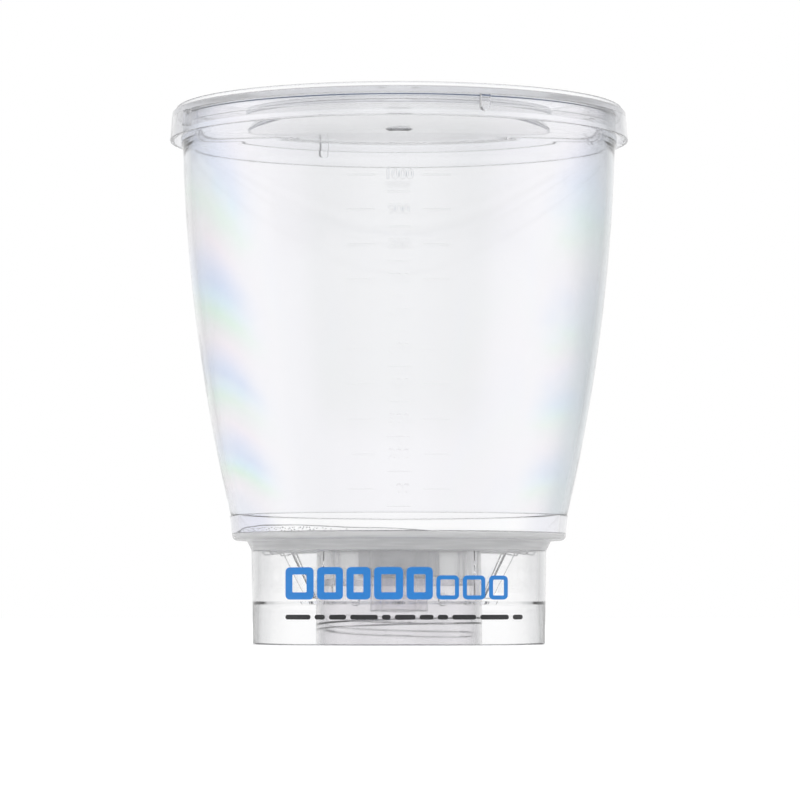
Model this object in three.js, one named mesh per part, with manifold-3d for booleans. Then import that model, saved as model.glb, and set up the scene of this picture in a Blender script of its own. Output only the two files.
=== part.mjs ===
// Bottle-top vacuum filtration unit, one litre: a tapered clear funnel with a lift-off lid, welded to a
// filter base that screws onto a wide-neck bottle. Millimetres, +Z up, the base stands on z = 0,
// the printed side faces -Y and the vacuum port faces +Y.
import * as THREE from "three";
import { mergeVertices } from "three/addons/utils/BufferGeometryUtils.js";
import Module from "manifold-3d";

const wasm = await Module();
wasm.setup();

// ---------------------------------------------------------------- driving dimensions

const FACETS = 48; // round the large mouldings
const FINE_FACETS = 20; // round the port and its fittings
const GAP = 0.3; // clearance between fitted pieces
const SEAT_GAP = 0.05; // under pieces that lie on a flat face

// Filter base: support plate with its cup wall, skirt, bottle neck and drip spout.
const SKIRT_FOOT_RADIUS = 43.7;
const SKIRT_TOP_RADIUS = 44.2;
const SKIRT_LIP_WALL = 1.3;
const SKIRT_LIP_HEIGHT = 12.2;
const SKIRT_INNER_RADIUS = 41.0;
const CEILING = 28.6; // underside of the support plate
const CUP_FLOOR = 30.9; // underside of the cup's overhanging rim
const CUP_TOP = 38.3; // weld seam with the funnel
const CUP_FOOT_RADIUS = 49.8;
const CUP_TOP_RADIUS = 50.7;
const CUP_WALL = 1.4;
const SEAL_LAND = 33.1; // the membrane lies on this plane
const DRAIN_EDGE = 32.3;
const DRAIN_CENTRE = 31.2;
const DRAIN_RINGS = [40, 33, 26, 19, 12];
const DRAIN_RING_WIDTH = 1.0;
const DRAIN_CHANNELS = 4;
const DRAIN_CHANNEL_WIDTH = 3.0;
const GUSSET_AZIMUTHS = [-26, 0, 26, 154, 180, 206]; // degrees from +X
const GUSSET_WIDTH = 1.3;
const GUSSET_FOOT = 13.5;
const GUSSET_FOOT_REACH = 3.0; // out from the neck
const GUSSET_SHELF = 27.2;
const GUSSET_SHELF_REACH = 10.1;
const GUSSET_TIP = 26.4; // where the shelf meets the skirt

// Bottle neck and drip spout.
const NECK_RADIUS = 24.9;
const THREAD_ROOT_RADIUS = 22.9; // 45 mm bottle thread, 4 mm pitch
const SEAT_HEIGHT = 19.3;
const CHAMBER_RADIUS = 20.6;
const SPOUT_RADIUS = 12.3;
const SPOUT_STEP = 20.0;
const NOZZLE_RADIUS = 8.7;
const NOZZLE_TIP = 11.2;
const OUTLET_RADIUS = 5.5;
const PAD_OFFSET = 12.6; // two round pads on the front of the neck
const PAD_HEIGHT = 13.5;
const PAD_RADIUS = 1.5;

// Membrane and gasket.
const MEMBRANE_RADIUS = 45.0;
const MEMBRANE_THICKNESS = 0.2;
const GASKET_INNER_RADIUS = 16.8;
const GASKET_THICKNESS = 1.9;

// Vacuum port.
const PORT_HEIGHT = 21.8;
const PORT_RADIUS = 5.6;
const PORT_END = 47.0;
const SOCKET_RADIUS = 3.9;
const SOCKET_FLOOR = 33.0;
const BARB_END = 66.0;
const BARB_BORE_RADIUS = 1.9;
const BARB_TUBE_RADIUS = 3.1;
const BARB_CREST_RADIUS = 4.4;
const BARBS = 3;
const BARB_FLANGE_RADIUS = 6.3;
const BARB_FLANGE_WIDTH = 1.8;
const PLUG_LENGTH = 4.6;

// Funnel: outer radius = FUNNEL_RADIUS - FUNNEL_TAPER * u - FUNNEL_BOW * u^2, u down from FUNNEL_DATUM.
const FUNNEL_DATUM = 150.0;
const FUNNEL_RADIUS = 65.0;
const FUNNEL_TAPER = 0.0245;
const FUNNEL_BOW = 0.000948;
const FUNNEL_WALL = 2.0;
const RIM_TOP = 157.4;
const RIM_RADIUS = 65.35;
const RIM_BEAD_RADIUS = 65.7;
const RIM_BEAD_HEIGHT = 151.4;
const TONGUE_INNER_RADIUS = 46.4;

// Lid.
const LID_TOP = 160.7;
const LID_SHOULDER = 159.4;
const LID_SKIRT_FOOT = 150.8;
const LID_SKIRT_RADIUS = 68.9;
const LID_SHOULDER_RADIUS = 68.2;
const LID_WALL = 1.3;
const LID_CHANNEL_ROOF = 157.7;
const LID_BEAD_RADIUS = 67.2;
const LID_BEAD_WIDTH = 1.9;
const LID_PLUG_RADIUS = 62.9;
const LID_PLUG_FOOT = 154.7;
const LID_PLATE_THICKNESS = 1.6;
const LID_PAD_UNDER = 156.6;
const LID_PAD_RADIUS = 45.8;
const GATE_DROP = 1.7;
const GATE_TIP_RADIUS = 3.1;
const GATE_ROOT_RADIUS = 4.3;
const LUG_AZIMUTH = 21.6; // degrees from the front towards +X, then every quarter turn
const LUG_FOOT = 152.7;
const LUG_WIDTH = 2.7;

// ---------------------------------------------------------------- helpers

const radians = THREE.MathUtils.degToRad;

// An outline of [r, z, fillet] corners, with each fillet worked out as an arc, the small ones as one flat.
function filleted(corners) {
  const points = [];
  corners.forEach(([r, z, fillet = 0], i) => {
    const corner = new THREE.Vector2(r, z);
    if (!fillet) {
      points.push(corner);
      return;
    }
    const [r0, z0] = corners.at(i - 1);
    const [r1, z1] = corners[(i + 1) % corners.length];
    const back = new THREE.Vector2(r0, z0).sub(corner).normalize();
    const on = new THREE.Vector2(r1, z1).sub(corner).normalize();
    const half = Math.acos(back.dot(on)) / 2;
    const start = back.clone().multiplyScalar(fillet / Math.tan(half)).add(corner);
    const end = on.clone().multiplyScalar(fillet / Math.tan(half)).add(corner);
    const middle = back.clone().add(on).normalize();
    const centre = middle.multiplyScalar(fillet / Math.sin(half)).add(corner);
    const from = start.clone().sub(centre).angle();
    let turn = end.clone().sub(centre).angle() - from;
    turn -= Math.round(turn / (2 * Math.PI)) * 2 * Math.PI;
    const steps = fillet < 0.7 ? 1 : 2;
    for (let k = 0; k <= steps; k++) {
      const a = from + (turn * k) / steps;
      points.push(new THREE.Vector2(Math.cos(a), Math.sin(a)).multiplyScalar(fillet).add(centre));
    }
  });
  return points;
}

// A closed mesh as a solid, its shared vertices merged and the collapsed faces on its axis left out.
function solid(geometry) {
  const bare = geometry.clone();
  bare.deleteAttribute("normal");
  bare.deleteAttribute("uv");
  const merged = mergeVertices(bare, 1e-4);
  const index = merged.index.array;
  const kept = [];
  for (let i = 0; i < index.length; i += 3) {
    const [a, b, c] = [index[i], index[i + 1], index[i + 2]];
    if (a !== b && b !== c && c !== a) kept.push(a, b, c);
  }
  const vertProperties = new Float32Array(merged.attributes.position.array);
  return new wasm.Manifold(new wasm.Mesh({ numProp: 3, vertProperties, triVerts: new Uint32Array(kept) }));
}

function meshOf(name, body, material) {
  const { vertProperties, triVerts } = body.getMesh();
  const geometry = new THREE.BufferGeometry();
  geometry.setAttribute("position", new THREE.BufferAttribute(new Float32Array(vertProperties), 3));
  geometry.setIndex(new THREE.BufferAttribute(new Uint32Array(triVerts), 1));
  geometry.computeVertexNormals();
  const mesh = new THREE.Mesh(geometry, material);
  mesh.name = name;
  return mesh;
}

// Turns an outline about +Z. It starts and ends on the axis, or it is a ring and is closed here.
function turned(outline, facets = FACETS) {
  const ring = outline[0].x > 0;
  const points = ring ? [...outline, outline[0].clone()] : outline;
  const area = points.reduce((sum, p, i) => {
    const q = points[(i + 1) % points.length];
    return sum + p.x * q.y - q.x * p.y;
  }, 0);
  const ordered = area > 0 ? points : [...points].reverse();
  return solid(new THREE.LatheGeometry(ordered, facets).rotateX(Math.PI / 2));
}

// The same outline turned about +Y at the port's height: its heights run outwards from the neck.
function turnedOnPort(outline) {
  const ring = outline[0].x > 0;
  const points = ring ? [...outline, outline[0].clone()] : outline;
  return solid(new THREE.LatheGeometry(points, FINE_FACETS).translate(0, 0, PORT_HEIGHT));
}

function joined(first, others) {
  return others.reduce((body, other) => body.add(other), first);
}

function cut(first, others) {
  return others.reduce((body, other) => body.subtract(other), first);
}

// ---------------------------------------------------------------- materials

function clearStyrene() {
  const look = { color: 0xf2f4f7, roughness: 0.08, metalness: 0, transparent: true, opacity: 0.35 };
  return new THREE.MeshStandardMaterial(look);
}

function matt(color, roughness) {
  return new THREE.MeshStandardMaterial({ color, roughness, metalness: 0 });
}

// ---------------------------------------------------------------- filter base

function cupInnerRadius(z) {
  const slope = (CUP_TOP_RADIUS - CUP_FOOT_RADIUS) / (CUP_TOP - CUP_FLOOR);
  return CUP_TOP_RADIUS - CUP_WALL - slope * (CUP_TOP - z);
}

function drainFloor(r) {
  const slope = (DRAIN_EDGE - DRAIN_CENTRE) / (MEMBRANE_RADIUS - OUTLET_RADIUS);
  return DRAIN_CENTRE + slope * (r - OUTLET_RADIUS);
}

// An upright web of the given thickness, its outline drawn in radius and height, at an azimuth from +X.
function web(corners, thickness, azimuth) {
  const shape = new THREE.Shape(corners.map(([r, z]) => new THREE.Vector2(r, z)));
  const geometry = new THREE.ExtrudeGeometry(shape, { depth: thickness, bevelEnabled: false });
  geometry.translate(0, 0, -thickness / 2);
  geometry.rotateX(Math.PI / 2);
  geometry.rotateZ(radians(azimuth));
  return solid(geometry);
}

// Section from the outlet along the underside, up round the cup wall and back over the drain rings.
function supportPlate() {
  const half = DRAIN_RING_WIDTH / 2;
  const rings = DRAIN_RINGS.flatMap((r) => [
    [r + half, drainFloor(r + half)],
    [r + half, SEAL_LAND],
    [r - half, SEAL_LAND],
    [r - half, drainFloor(r - half)],
  ]);
  const edge = MEMBRANE_RADIUS - 1.8;
  const plate = turned(
    filleted([
      [OUTLET_RADIUS, CEILING],
      [SKIRT_TOP_RADIUS + 0.3, CEILING],
      [SKIRT_TOP_RADIUS + 1.4, CUP_FLOOR, 0.8],
      [CUP_FOOT_RADIUS, CUP_FLOOR, 1.5],
      [CUP_TOP_RADIUS, CUP_TOP, 0.3],
      [cupInnerRadius(CUP_TOP), CUP_TOP],
      [cupInnerRadius(SEAL_LAND), SEAL_LAND],
      [MEMBRANE_RADIUS - 1.6, SEAL_LAND],
      [edge, drainFloor(edge)],
      ...rings,
      [OUTLET_RADIUS + 0.8, DRAIN_CENTRE, 0.4],
      [OUTLET_RADIUS, DRAIN_CENTRE - 0.8],
    ]),
  );
  const start = DRAIN_RINGS.at(-1) - 2;
  const channel = [
    [start, drainFloor(start) - 0.1],
    [edge - 0.1, drainFloor(edge) - 0.1],
    [edge - 0.1, SEAL_LAND + 1],
    [start, SEAL_LAND + 1],
  ];
  const channels = Array.from({ length: DRAIN_CHANNELS }, (_, i) =>
    web(channel, DRAIN_CHANNEL_WIDTH, ((i + 0.5) * 360) / DRAIN_CHANNELS),
  );
  return meshOf("support_plate", cut(plate, channels), clearStyrene());
}

// The skirt that the unit stands on, with a step inside and a hole for the port.
function skirt() {
  const top = CEILING - SEAT_GAP;
  const body = turned(
    filleted([
      [SKIRT_FOOT_RADIUS - SKIRT_LIP_WALL, 0],
      [SKIRT_FOOT_RADIUS, 0, 0.4],
      [SKIRT_TOP_RADIUS, top - 0.6],
      [SKIRT_TOP_RADIUS + 0.3, top],
      [SKIRT_INNER_RADIUS, top],
      [SKIRT_INNER_RADIUS, SKIRT_LIP_HEIGHT],
      [SKIRT_FOOT_RADIUS - SKIRT_LIP_WALL, SKIRT_LIP_HEIGHT, 1.2],
    ]),
  );
  const [inner, outer] = [SKIRT_INNER_RADIUS - 5, SKIRT_TOP_RADIUS + 5];
  const hole = turnedOnPort(
    filleted([
      [0, inner],
      [PORT_RADIUS + GAP, inner],
      [PORT_RADIUS + GAP, outer],
      [0, outer],
    ]),
  );
  return meshOf("skirt", body.subtract(hole), clearStyrene());
}

// Triangular gussets under the plate, three on each side of the neck.
function gussets() {
  const [root, edge, top] = [NECK_RADIUS - 0.9, SKIRT_INNER_RADIUS - GAP, CEILING - SEAT_GAP];
  const section = [
    [root, top],
    [root, GUSSET_FOOT],
    [NECK_RADIUS + GUSSET_FOOT_REACH, GUSSET_FOOT],
    [NECK_RADIUS + GUSSET_SHELF_REACH, GUSSET_SHELF],
    [edge, GUSSET_TIP],
    [edge, top],
  ];
  return GUSSET_AZIMUTHS.map((azimuth) => web(section, GUSSET_WIDTH, azimuth));
}

// Two small round pads on the front of the neck.
function neckPads() {
  return [-1, 1].map((side) => {
    const pad = new THREE.CylinderGeometry(PAD_RADIUS, PAD_RADIUS, 1.4, 14);
    pad.translate(0, -NECK_RADIUS + 0.2, 0);
    pad.rotateZ(Math.asin((side * PAD_OFFSET) / NECK_RADIUS));
    pad.translate(0, 0, PAD_HEIGHT);
    return solid(pad);
  });
}

function portSocket() {
  const inner = NECK_RADIUS - 1.2;
  return turnedOnPort(
    filleted([
      [0, inner],
      [PORT_RADIUS, inner],
      [PORT_RADIUS, PORT_END, 0.4],
      [0, PORT_END],
    ]),
  );
}

function portBore() {
  const neckSide = CHAMBER_RADIUS - 1.5;
  return turnedOnPort(
    filleted([
      [0, neckSide],
      [BARB_BORE_RADIUS + 0.3, neckSide],
      [BARB_BORE_RADIUS + 0.3, SOCKET_FLOOR],
      [SOCKET_RADIUS, SOCKET_FLOOR],
      [SOCKET_RADIUS, PORT_END + 1],
      [0, PORT_END + 1],
    ]),
  );
}

// The neck that takes the bottle, with the seat over its thread, the gussets and the port's socket.
function bottleNeck() {
  const top = CEILING - SEAT_GAP;
  const tube = turned(
    filleted([
      [CHAMBER_RADIUS, top],
      [CHAMBER_RADIUS, SEAT_HEIGHT],
      [THREAD_ROOT_RADIUS, SEAT_HEIGHT],
      [THREAD_ROOT_RADIUS, 0.8],
      [THREAD_ROOT_RADIUS + 0.6, 0],
      [NECK_RADIUS, 0, 0.3],
      [NECK_RADIUS, top],
    ]),
  );
  const body = joined(tube, [...gussets(), ...neckPads(), portSocket()]);
  return meshOf("bottle_neck", body.subtract(portBore()), clearStyrene());
}

function dripSpout() {
  const body = turned(
    filleted([
      [OUTLET_RADIUS, NOZZLE_TIP],
      [NOZZLE_RADIUS, NOZZLE_TIP, 0.4],
      [NOZZLE_RADIUS, SPOUT_STEP],
      [SPOUT_RADIUS, SPOUT_STEP, 0.5],
      [SPOUT_RADIUS, CEILING - SEAT_GAP],
      [OUTLET_RADIUS, CEILING - SEAT_GAP],
    ]),
  );
  return meshOf("drip_spout", body, clearStyrene());
}

// ---------------------------------------------------------------- membrane and gasket

function disc(radius, from, to, facets) {
  return turned(
    [
      [0, from],
      [radius, from],
      [radius, to],
      [0, to],
    ].map(([r, z]) => new THREE.Vector2(r, z)),
    facets,
  );
}

function membrane() {
  const bottom = SEAL_LAND + SEAT_GAP;
  return meshOf("membrane", disc(MEMBRANE_RADIUS, bottom, bottom + MEMBRANE_THICKNESS), matt(0xf4f3ee, 0.9));
}

// The ring that seals on the bottle's lip, pressed up against the seat over the thread.
function neckGasket() {
  const top = SEAT_HEIGHT - SEAT_GAP;
  const bottom = top - GASKET_THICKNESS;
  const outer = THREAD_ROOT_RADIUS - GAP;
  const ring = turned(
    filleted([
      [GASKET_INNER_RADIUS, bottom],
      [outer, bottom],
      [outer, top],
      [GASKET_INNER_RADIUS, top],
    ]),
  );
  return meshOf("neck_gasket", ring, matt(0xb9bdc2, 0.6));
}

// ---------------------------------------------------------------- funnel

function funnelRadius(z) {
  const u = FUNNEL_DATUM - z;
  return FUNNEL_RADIUS - FUNNEL_TAPER * u - FUNNEL_BOW * u * u;
}

// Points of the tapered wall between two heights, moved in by an inset.
function taper(from, to, inset, steps) {
  return Array.from({ length: steps + 1 }, (_, i) => {
    const z = from + ((to - from) * i) / steps;
    return [funnelRadius(z) - inset, z];
  });
}

function funnel() {
  const tongueTop = cupInnerRadius(CUP_TOP) - GAP;
  const tongueFoot = cupInnerRadius(SEAL_LAND) - GAP;
  const seam = CUP_TOP + SEAT_GAP;
  const foot = SEAL_LAND + GAP;
  const body = turned(
    filleted([
      [TONGUE_INNER_RADIUS, foot],
      [tongueFoot, foot],
      [tongueTop, seam],
      [funnelRadius(seam) - 0.1, seam],
      ...taper(CUP_TOP + 1, 147.5, 0, 7),
      [RIM_RADIUS, RIM_BEAD_HEIGHT - 1.2],
      [RIM_BEAD_RADIUS, RIM_BEAD_HEIGHT - 0.7, 0.4],
      [RIM_BEAD_RADIUS, RIM_BEAD_HEIGHT + 0.5, 0.4],
      [RIM_RADIUS, RIM_BEAD_HEIGHT + 0.8],
      [RIM_RADIUS - 0.1, RIM_TOP, 0.5],
      [LID_PLUG_RADIUS + 0.4, RIM_TOP, 0.4],
      [LID_PLUG_RADIUS + 0.35, 152],
      ...taper(147, 44, FUNNEL_WALL, 6),
      [TONGUE_INNER_RADIUS + 0.8, CUP_TOP],
    ]),
  );
  return meshOf("funnel", body, clearStyrene());
}

// ---------------------------------------------------------------- lid

function lidSkirtOuter(z) {
  const share = (z - LID_SKIRT_FOOT) / (LID_SHOULDER - LID_SKIRT_FOOT);
  return LID_SKIRT_RADIUS + (LID_SHOULDER_RADIUS - LID_SKIRT_RADIUS) * share;
}

// Section from the gate mark on the axis, over the pad, plate, plug ring and rim channel to the skirt,
// then back over the shoulder and the stacking bead.
function lidBody() {
  const plateTop = LID_CHANNEL_ROOF + LID_PLATE_THICKNESS;
  return turned(
    filleted([
      [0, LID_PAD_UNDER - GATE_DROP],
      [GATE_TIP_RADIUS, LID_PAD_UNDER - GATE_DROP, 1.2],
      [GATE_ROOT_RADIUS, LID_PAD_UNDER],
      [LID_PAD_RADIUS, LID_PAD_UNDER],
      [LID_PAD_RADIUS + 0.1, LID_CHANNEL_ROOF],
      [LID_PLUG_RADIUS - LID_WALL, LID_CHANNEL_ROOF, 0.4],
      [LID_PLUG_RADIUS - LID_WALL, LID_PLUG_FOOT, 0.3],
      [LID_PLUG_RADIUS, LID_PLUG_FOOT, 0.3],
      [LID_PLUG_RADIUS, LID_CHANNEL_ROOF],
      [lidSkirtOuter(LID_CHANNEL_ROOF) - LID_WALL, LID_CHANNEL_ROOF],
      [lidSkirtOuter(LID_SKIRT_FOOT) - LID_WALL, LID_SKIRT_FOOT],
      [LID_SKIRT_RADIUS, LID_SKIRT_FOOT, 0.4],
      [LID_SHOULDER_RADIUS, LID_SHOULDER, 0.5],
      [LID_BEAD_RADIUS, LID_SHOULDER],
      [LID_BEAD_RADIUS, LID_TOP, 0.6],
      [LID_BEAD_RADIUS - LID_BEAD_WIDTH, LID_TOP, 0.5],
      [LID_BEAD_RADIUS - LID_BEAD_WIDTH, plateTop],
      [0, plateTop],
    ]),
  );
}

// Lugs in the rim channel that keep the lid centred and vented: a flat tab with a round foot.
function lidLugs() {
  const inner = RIM_RADIUS + GAP;
  const outer = lidSkirtOuter(LUG_FOOT) - LID_WALL / 2;
  const radius = LUG_WIDTH / 2;
  const outline = new THREE.Shape();
  outline.moveTo(-radius, LID_CHANNEL_ROOF + 0.4);
  outline.lineTo(-radius, LUG_FOOT + radius);
  outline.absarc(0, LUG_FOOT + radius, radius, Math.PI, 2 * Math.PI, false);
  outline.lineTo(radius, LID_CHANNEL_ROOF + 0.4);
  return [0, 90, 180, 270].map((turn) => {
    const tab = new THREE.ExtrudeGeometry(outline, {
      depth: outer - inner,
      bevelEnabled: false,
      curveSegments: 6,
    });
    tab.rotateX(Math.PI / 2);
    tab.translate(0, -inner, 0);
    tab.rotateZ(radians(LUG_AZIMUTH + turn));
    return solid(tab);
  });
}

function lid() {
  return meshOf("lid", joined(lidBody(), lidLugs()), clearStyrene());
}

// ---------------------------------------------------------------- vacuum port fittings

// Spigot in the socket, flange against its end, and a tube with three barbs for the hose.
function hoseBarb() {
  const spigot = SOCKET_RADIUS - GAP;
  const start = SOCKET_FLOOR + GAP + PLUG_LENGTH + GAP;
  const flange = PORT_END + SEAT_GAP;
  const flangeEnd = flange + BARB_FLANGE_WIDTH;
  const first = flangeEnd + 3.4;
  const pitch = (BARB_END - first) / BARBS;
  const teeth = [];
  for (let i = 0; i < BARBS; i++) {
    teeth.push([BARB_TUBE_RADIUS, first + i * pitch], [BARB_CREST_RADIUS, first + i * pitch + 0.2]);
    teeth.push([BARB_TUBE_RADIUS, first + (i + 0.85) * pitch]);
  }
  const body = turnedOnPort(
    filleted([
      [BARB_BORE_RADIUS, start],
      [spigot, start],
      [spigot, flange],
      [BARB_FLANGE_RADIUS, flange, 0.3],
      [BARB_FLANGE_RADIUS, flangeEnd, 0.3],
      [BARB_TUBE_RADIUS, flangeEnd],
      ...teeth,
      [BARB_TUBE_RADIUS - 0.1, BARB_END],
      [BARB_BORE_RADIUS, BARB_END],
    ]),
  );
  return meshOf("hose_barb", body, clearStyrene());
}

function portPlug() {
  const start = SOCKET_FLOOR + GAP;
  const radius = SOCKET_RADIUS - GAP;
  const body = turnedOnPort(
    filleted([
      [0, start],
      [radius, start, 0.4],
      [radius, start + PLUG_LENGTH, 0.4],
      [0, start + PLUG_LENGTH],
    ]),
  );
  return meshOf("port_plug", body, matt(0xf7f6f2, 1));
}

// ---------------------------------------------------------------- assembly

const unit = new THREE.Group();
unit.add(supportPlate(), skirt(), bottleNeck(), dripSpout());
unit.add(membrane(), neckGasket(), funnel(), lid(), hoseBarb(), portPlug());

export default unit;
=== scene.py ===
"""Clear bottle-top vacuum filtration unit: the moulded clear pieces, their print and the studio."""
import math
import random

import bmesh
import bpy
from mathutils import Matrix, Vector


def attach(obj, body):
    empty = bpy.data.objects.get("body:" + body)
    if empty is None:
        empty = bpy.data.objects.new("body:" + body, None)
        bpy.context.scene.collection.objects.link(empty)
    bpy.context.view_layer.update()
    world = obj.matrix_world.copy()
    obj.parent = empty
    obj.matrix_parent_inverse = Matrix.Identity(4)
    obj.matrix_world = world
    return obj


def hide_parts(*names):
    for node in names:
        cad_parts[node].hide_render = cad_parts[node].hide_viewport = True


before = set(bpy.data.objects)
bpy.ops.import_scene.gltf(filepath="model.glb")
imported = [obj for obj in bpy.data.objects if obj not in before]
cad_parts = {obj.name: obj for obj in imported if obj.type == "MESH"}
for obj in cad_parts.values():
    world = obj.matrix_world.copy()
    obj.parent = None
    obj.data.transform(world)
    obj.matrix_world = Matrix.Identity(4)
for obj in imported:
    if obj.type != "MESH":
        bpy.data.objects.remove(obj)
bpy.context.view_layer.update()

MM = 0.001
SEGMENTS = 256  # round the base
WIDE_SEGMENTS = 320  # round the funnel and the lid
BARB_SEGMENTS = 96
FINE_SEGMENTS = 64  # round the port
PAD_SEGMENTS = 32
GAP = 0.3  # between fitted pieces
SEAT_GAP = 0.05  # under pieces that lie on a flat face
OVERLAP = 0.4  # how far a joined detail reaches into its wall

# ---------------------------------------------------------------- dimensions, in millimetres

# Filter base
SKIRT_FOOT_RADIUS = 43.7
SKIRT_TOP_RADIUS = 44.2
SKIRT_LIP_WALL = 1.3
SKIRT_LIP_HEIGHT = 12.2
SKIRT_LIP_STEP = 0.18
SKIRT_INNER_RADIUS = 41.7
CEILING = 28.6  # underside of the support plate
CUP_FLOOR = 30.9
CUP_TOP = 38.3  # seam with the funnel
CUP_FOOT_RADIUS = 49.8
CUP_TOP_RADIUS = 50.7
CUP_WALL = 1.4
SEAL_LAND = 33.1  # the membrane lies here
DRAIN_EDGE = 32.3
DRAIN_CENTRE = 31.2
DRAIN_RINGS = (40, 33, 26, 19, 12)
DRAIN_RING_WIDTH = 1.0
LAND_WIDTH = 1.6  # of the flat seat under the membrane's edge
DRAIN_CHANNEL_WIDTH = 3.0
DRAIN_CHANNEL_AZIMUTHS = (45, 135, 225, 315)
GUSSET_AZIMUTHS = (-26, 0, 26, 154, 180, 206)  # degrees from +X
GUSSET_WIDTH = 1.4
GUSSET_EDGE = 0.35
GUSSET_FOOT = (3.0, 13.5)  # beyond the neck, height
GUSSET_SHELF = (10.1, 27.2)
GUSSET_TIP = (-1.1, 26.4)  # beyond the skirt's inner wall, height

# Bottle neck, thread and drip spout
NECK_RADIUS = 24.9
MOUTH_CHAMFER = (0.6, 0.8)  # width, height
THREAD_ROOT_RADIUS = 22.9
THREAD_CREST_RADIUS = 21.6
THREAD_PITCH = 4.0
THREAD_TOP = 10.07
THREAD_TOP_AZIMUTH = 150
THREAD_TURNS = 1.4
THREAD_STEPS = 128  # per turn
THREAD_RUN_OUT = 0.12  # of a turn, at each end
THREAD_HALF_WIDTHS = (1.15, 0.75, 0.5)  # at the root, near the crest and at the crest
SEAT_HEIGHT = 19.3
CHAMBER_RADIUS = 20.6
SPOUT_RADIUS = 12.3
SPOUT_STEP = 20.0
NOZZLE_RADIUS = 8.7
NOZZLE_TIP = 11.2
OUTLET_RADIUS = 5.5
PAD_OFFSET = 12.6
PAD_HEIGHT = 13.5
PAD_RADIUS = 1.5

# Print on the skirt
PRINT_LIFT = 0.02
PRINT_THICKNESS = 0.05
PRINT_LEFT = -33.2
PRINT_BOX = (-35, 38, 5, 25)  # x from and to, height from and to
PRINT_STEPS = 96
PRINT_CORNER = 1.3
PRINT_INNER_CORNER = 0.25
CORNER_STEPS = 5
BOLD_FRAMES = (8.4, 7.6, 7.0, 8.4, 7.6)  # widths
BOLD_ROW = (1.0, 13.2, 22.6, 2.1)  # gap, foot, top, stroke
LIGHT_FRAMES = (6.6, 6.6, 5.6)
LIGHT_ROW = (1.1, 13.2, 20.2, 1.2)
RULES = (7.5, 3.0, 5.0, 8.0, 2.5, 6.0, 4.0, 3.0, 7.0, 8.5, 3.0)
RULE_ROW = (1.2, 7.4, 8.8, 0)
STAMP_DEPTH = 15.0  # to each side
STAMP_PLACE = -38.0

# Membrane, gasket and port
MEMBRANE_RADIUS = 45.0
MEMBRANE_THICKNESS = 0.2
GASKET_INNER_RADIUS = 16.8
GASKET_THICKNESS = 1.9
PORT_HEIGHT = 21.8
PORT_RADIUS = 5.6
PORT_END = 47.0
SOCKET_RADIUS = 3.9
SOCKET_FLOOR = 33.0
BARB_END = 66.0
BARB_BORE_RADIUS = 1.9
BARB_TUBE_RADIUS = 3.1
BARB_CREST_RADIUS = 4.4
BARB_TIP_RADIUS = 3.0
BARBS = 3
BARB_FLANGE_RADIUS = 6.3
BARB_FLANGE_WIDTH = 1.8
BARB_START = 5.2  # from the flange's seat to the first barb
PLUG_LENGTH = 4.6

# Funnel: outer radius = FUNNEL_RADIUS - FUNNEL_TAPER * u - FUNNEL_BOW * u^2, u down from FUNNEL_DATUM
FUNNEL_DATUM = 150.0
FUNNEL_RADIUS = 65.0
FUNNEL_TAPER = 0.0245
FUNNEL_BOW = 0.000948
FUNNEL_WALL = 2.0
FUNNEL_STEPS = 60  # up the wall
TAPER_TOP_OUTSIDE = 147.5
TAPER_TOP_INSIDE = 147.0
RIM_BORE_FOOT = 152.0
RIM_TOP = 157.4
RIM_RADIUS = 65.35
RIM_BEAD_HEIGHT = 151.4
RIM_BEAD_REACH = 1.6
TONGUE_WALL = 0.9

# Raised scale on the funnel
MARKS = 10
MARK_TOP = 134.3
MARK_PITCH = 9.95
MARK_PROUD = 0.16
MARK_FAINTEST = 0.3  # share of that, up to the height where the marks start to sharpen
MARK_SHARPENS = (100, 35)  # height, further height to full sharpness
MARK_FLANK = 0.14
MARK_HALF_WIDTH = 0.3
MARK_FLAT = 0.1  # half the width of a line's top
MARK_STEPS = 6
LONG_MARK = (7.0, 15.0)
SHORT_MARK = 3.4
NUMERAL_SIZE = 4.2
NUMERAL_DEPTH = 1.0  # to each side of the text, before it is set on the wall

# Weld between the funnel and the base
WELD_RADIUS = 49.0
WELD_SECTION = ((0.0, -0.16), (0.07, 0.0), (0.0, 0.16), (-0.07, 0.0))
WELD_LINE = (  # azimuth from +X, height of the weld's edge
    (150, 33.6), (192, 33.0), (207, 34.6), (218, 35.0), (230, 34.9), (262, 33.9),
    (292, 32.7), (340, 32.6), (20, 33.2), (80, 34.2), (115, 34.0),
)
BUBBLES = 220
BUBBLE_SEED = 5
BUBBLE_AZIMUTHS = (186, 262, 205)  # first, last and most crowded
BUBBLE_DEPTHS = (0.5, 2.8)  # under the weld's edge
BUBBLE_SIZES = (0.12, 0.30)
BUBBLE_SPREAD = 0.25
BUBBLE_GAP = 0.05
BUBBLE_FLOOR = 31.7

# Lid
LID_TOP = 160.7
LID_SHOULDER = 159.4
LID_SKIRT_FOOT = 150.8
LID_SKIRT_RADIUS = 68.9
LID_SHOULDER_RADIUS = 68.2
LID_WALL = 1.3
LID_CHANNEL_ROOF = 157.7
LID_BEAD_RADIUS = 67.2
LID_BEAD_WIDTH = 1.9
LID_PLUG_RADIUS = 62.9
LID_PLUG_FOOT = 154.7
LID_PLATE_THICKNESS = 1.6
LID_PAD_UNDER = 156.6
LID_PAD_RADIUS = 45.8
GATE_DROP = 1.7
GATE_TIP_RADIUS = 3.1
GATE_ROOT_RADIUS = 4.3
LUG_AZIMUTH = 21.6
LUG_FOOT = 152.7
LUG_WIDTH = 2.7
LUG_STEPS = 16

# ---------------------------------------------------------------- mesh helpers

SHARP_ANGLE = math.radians(30)
ON_AXIS = 1e-6


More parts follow.
